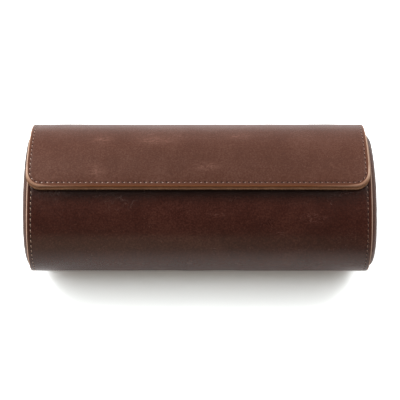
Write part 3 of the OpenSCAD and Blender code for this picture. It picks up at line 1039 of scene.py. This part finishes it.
def stuffed(node, name):
    """A cushion and its piping. Cloth simulation blows the cover up between its seams.

    The rings are joined by quads and each end is closed by a fan. The piping is
    a cord of eight sides laid round in each seam.
    """
    rings, outward, near, share = cushion_rings(node, 31)
    count, places = rings.shape[:2]
    poles = rings[[0, -1]].mean(1)
    points = np.concatenate([rings.reshape(-1, 3), poles])
    step = np.arange(places)
    after = (step + 1) % places
    skin = ring_faces(count, places)
    first = np.stack([step, after, np.full(places, count * places)], -1)
    last = (count - 1) * places
    final = np.stack([last + after, last + step, np.full(places, count * places + 1)], -1)
    seam = np.concatenate([np.repeat(near, places), [0, 0]])
    piece = put_mesh(name, points, [skin, first, final], cushion_finish, attributes={"seam": seam})
    bpy.context.view_layer.objects.active = piece
    held = piece.vertex_groups.new(name="held")
    firm = np.concatenate([np.repeat((near > 0.9) | (share < 0.7), places), [True, True]])
    held.add(np.flatnonzero(firm).tolist(), 1.0, "REPLACE")
    cloth = piece.modifiers.new("cloth", "CLOTH")
    cloth.settings.vertex_group_mass = "held"
    cloth.settings.use_pressure = True
    cloth.settings.uniform_pressure_force = 3.0
    cloth.settings.effector_weights.gravity = 0
    cloth.settings.tension_stiffness = 25
    cloth.settings.compression_stiffness = 25
    for moment in range(1, cloth_steps + 1):
        bpy.context.scene.frame_set(moment)
    graph = bpy.context.evaluated_depsgraph_get()
    blown = points_of(piece.evaluated_get(graph).data)
    piece.modifiers.remove(cloth)
    piece.vertex_groups.clear()
    bpy.context.scene.frame_set(1)
    move = blown - points
    length = np.linalg.norm(move, axis=1, keepdims=True)
    move = move * np.minimum(1, cushion_puff / np.maximum(length, 1e-9))
    piece.data.vertices.foreach_set("co", (points + move).astype(np.float32).ravel())
    finer = piece.modifiers.new("finer", "SUBSURF")
    finer.levels = 1
    finer.render_levels = 1
    bpy.ops.object.modifier_apply(modifier="finer")
    piece.data.shade_smooth()
    around_cord = np.arange(8) * math.pi / 4
    cord = []
    for ring in rings[near > 0.99]:
        centre = ring + outward * piping_stand
        side = np.sin(around_cord)[:, None] * (1, 0, 0)
        out = np.cos(around_cord)[:, None] * outward[:, None]
        cord.append(centre[:, None] + piping_radius * (side + out))
    cord = np.stack(cord)
    turn = np.arange(8)
    low = step[:, None] * 8 + turn
    high = after[:, None] * 8 + turn
    wall = np.stack([low, step[:, None] * 8 + (turn + 1) % 8, after[:, None] * 8 + (turn + 1) % 8, high], -1)
    wall = wall.reshape(-1, 4)
    faces = np.concatenate([wall + k * places * 8 for k in range(len(cord))])
    piping = put_mesh(name.replace("cushion", "piping"), cord.reshape(-1, 3), faces, piping_finish)
    return piece, piping


def moved(piece, name, distance):
    """A copy of a piece, moved along the case in its mesh."""
    twin = bpy.data.objects.new(name, piece.data.copy())
    bpy.context.scene.collection.objects.link(twin)
    spots = points_of(twin.data) + (distance, 0, 0)
    twin.data.vertices.foreach_set("co", spots.astype(np.float32).ravel())
    twin.data.update()
    return twin


middle_cushion, middle_piping = stuffed("cushion_cover_middle", "cushion_middle")
cushion_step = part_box("cushion_cover_right")[0].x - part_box("cushion_cover_middle")[0].x
for place, word in ((-1, "left"), (0, "middle"), (1, "right")):
    cushion = middle_cushion if place == 0 else moved(middle_cushion, f"cushion_{word}", place * cushion_step)
    piping = middle_piping if place == 0 else moved(middle_piping, f"piping_{word}", place * cushion_step)
    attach(cushion, f"cushion_{word}")
    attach(piping, f"cushion_{word}")
    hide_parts(f"cushion_cover_{word}", f"cushion_core_{word}")


# ---- The table and the light -----------------------------
# A plain white table takes the case's soft shadow. Two high lamps stand behind
# it at its sides, two wide ones beside it and one behind. A dim warm panel
# stands low in front, a little to the left, and the room is dim and white.
table_reach = 30
room_strength = 0.10
lamp_aim = (0, 0, 0.03)

table = bpy.data.meshes.new("table")
corners = [(x * table_reach, y * table_reach, 0) for x, y in ((-1, -1), (1, -1), (1, 1), (-1, 1))]
table.from_pydata(corners, [], [(0, 1, 2, 3)])
table_piece = bpy.data.objects.new("table", table)
bpy.context.scene.collection.objects.link(table_piece)

# The light meets a chalky white, so that the case keeps its shadow. The camera
# and the reflections see the same table brighter, as a clear white.
paper = Finish("white_table")
chalk = paper.node("ShaderNodeBsdfDiffuse", {}, {"Color": (0.90, 0.90, 0.90)})
ray = paper.node("ShaderNodeLightPath")
straight = ray.outputs["Is Camera Ray"]
mirrored = paper.math("MAXIMUM", ray.outputs["Is Glossy Ray"], ray.outputs["Is Transmission Ray"])
white = paper.mix(straight, (1.20, 1.20, 1.20), (2.30, 2.40, 2.41))
bright = paper.node("ShaderNodeBsdfDiffuse", {}, {"Color": white})
seen = paper.math("MAXIMUM", straight, mirrored)
both = paper.node("ShaderNodeMixShader", {}, {0: seen, 1: chalk.outputs[0], 2: bright.outputs[0]})
paper.node("ShaderNodeOutputMaterial", {}, {"Surface": both.outputs[0]})
table.materials.append(paper.material)

room = Finish("studio", bpy.data.worlds)
glow = room.node("ShaderNodeBackground", {}, {"Color": (1.0, 1.0, 1.0), "Strength": room_strength})
room.node("ShaderNodeOutputWorld", {}, {"Surface": glow.outputs[0]})
bpy.context.scene.world = room.material


def lamp(name, place, size, power, colour=(1, 1, 1)):
    """An area lamp of that width and height at place, facing the case."""
    light = bpy.data.lights.new(name, "AREA")
    light.shape = "RECTANGLE"
    light.size, light.size_y = size
    light.energy = power
    light.color = colour
    piece = bpy.data.objects.new(name, light)
    bpy.context.scene.collection.objects.link(piece)
    piece.location = place
    aim = np.array(lamp_aim) - np.array(place)
    flat = math.hypot(aim[0], aim[1])
    piece.rotation_euler = (math.atan2(flat, -aim[2]), 0, math.atan2(-aim[0], aim[1]))


lamp("left_light", (-0.80, 0.75, 1.00), (0.8, 0.8), 14)
lamp("right_light", (0.90, 0.75, 1.05), (0.8, 0.8), 9.5)
lamp("left_fill", (-1.02, 0.10, 0.93), (0.9, 0.9), 7.8)
lamp("right_fill", (1.00, 0.15, 0.95), (0.9, 0.9), 5)
lamp("back_light", (0, 1.5, 0.7), (1.4, 1.4), 3.2)
lamp("front_panel", (-0.35, -1.5, 0.55), (1.1, 1.3), 4.3, (1, 0.90, 0.74))


# ---- The camera ------------------------------------------
# It stands high in front of the case and looks down at the tube's axis, a
# hair to the right of its middle.
camera_elevation = math.radians(66)
camera_distance = 0.816
camera_lens = 110.2
camera_slide = 0.0004

camera = bpy.data.objects.new("camera", bpy.data.cameras.new("camera"))
bpy.context.scene.collection.objects.link(camera)
bpy.context.scene.camera = camera
camera.data.sensor_width = 36
camera.data.lens = camera_lens
camera.data.clip_start = 0.05
camera.data.clip_end = 20
camera.location = (
    camera_slide,
    -camera_distance * math.cos(camera_elevation),
    axis_z + camera_distance * math.sin(camera_elevation),
)
camera.rotation_euler = (math.pi / 2 - camera_elevation, 0, 0)

bpy.context.scene.view_settings.view_transform = "Standard"
